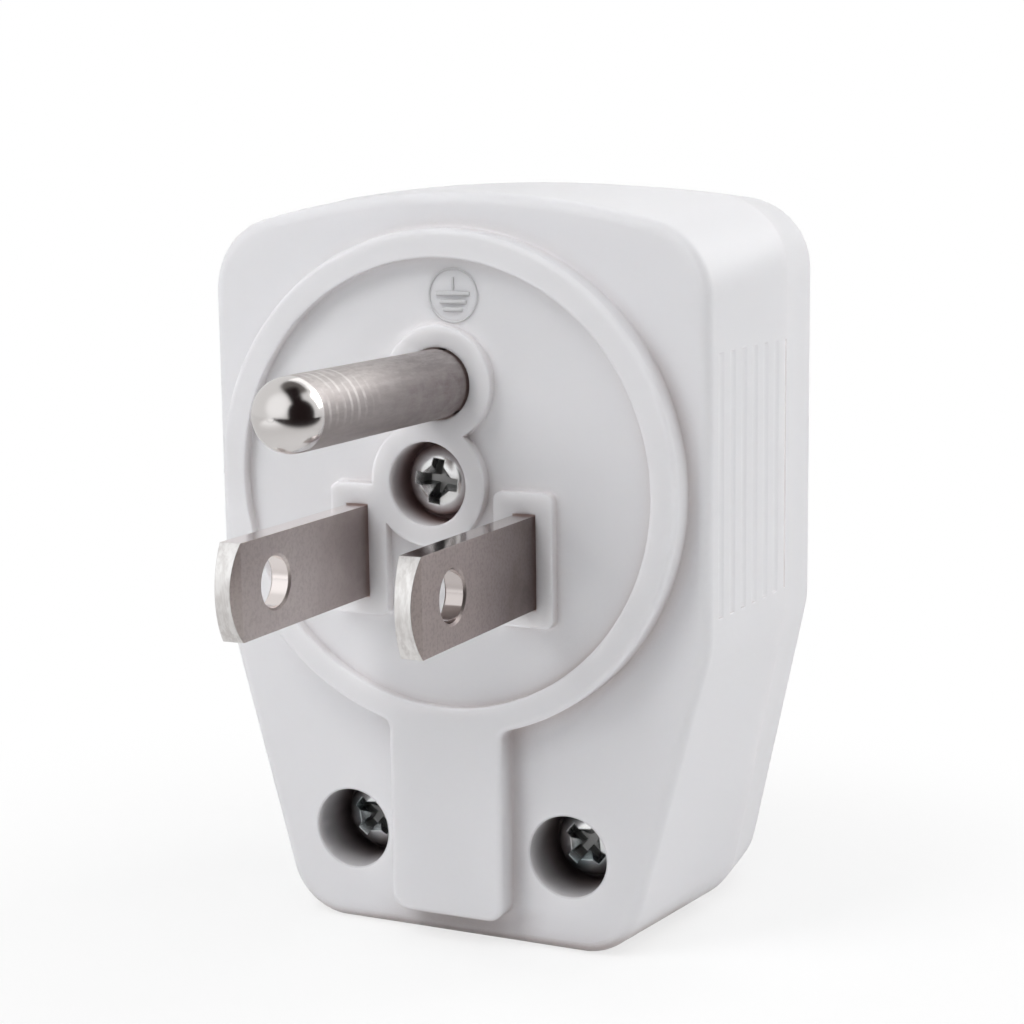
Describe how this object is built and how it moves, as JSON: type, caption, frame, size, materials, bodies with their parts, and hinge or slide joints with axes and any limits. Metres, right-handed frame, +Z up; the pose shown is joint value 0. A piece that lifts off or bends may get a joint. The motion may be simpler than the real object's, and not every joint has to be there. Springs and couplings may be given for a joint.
{
  "type": "grounded plug",
  "caption": "Rewirable grounded plug: white housing with a rear cover, flat blades, a round ground pin, sunk cross-head screws, ribbed grip sides and a cord inlet in the flat base.",
  "frame": {"origin": "midway between the two blades, in the plane of the contact face", "axes": "+X to the right seen from the pins, +Y from the contact face into the body, +Z up from the base to the ground pin"},
  "size_m": [0.0388, 0.0467, 0.0525],
  "materials": {
    "white_plastic": "satin white moulding",
    "nickel_plate": "nickel-plated brass, satin",
    "zinc_plate": "zinc-plated steel, bright",
    "bare_brass": "bare brass"
  },
  "bodies": {
    "root": {"front_housing": "white_plastic", "rear_cover": "white_plastic", "line_blade": "nickel_plate", "neutral_blade": "nickel_plate", "ground_pin": "nickel_plate", "ground_strip": "bare_brass", "line_terminal_screw": "zinc_plate", "neutral_terminal_screw": "zinc_plate", "ground_terminal_screw": "zinc_plate", "line_clamp_washer": "zinc_plate", "neutral_clamp_washer": "zinc_plate", "ground_clamp_washer": "zinc_plate", "centre_housing_screw": "zinc_plate", "left_cord_screw": "zinc_plate", "right_cord_screw": "zinc_plate"}
  },
  "joints": []
}
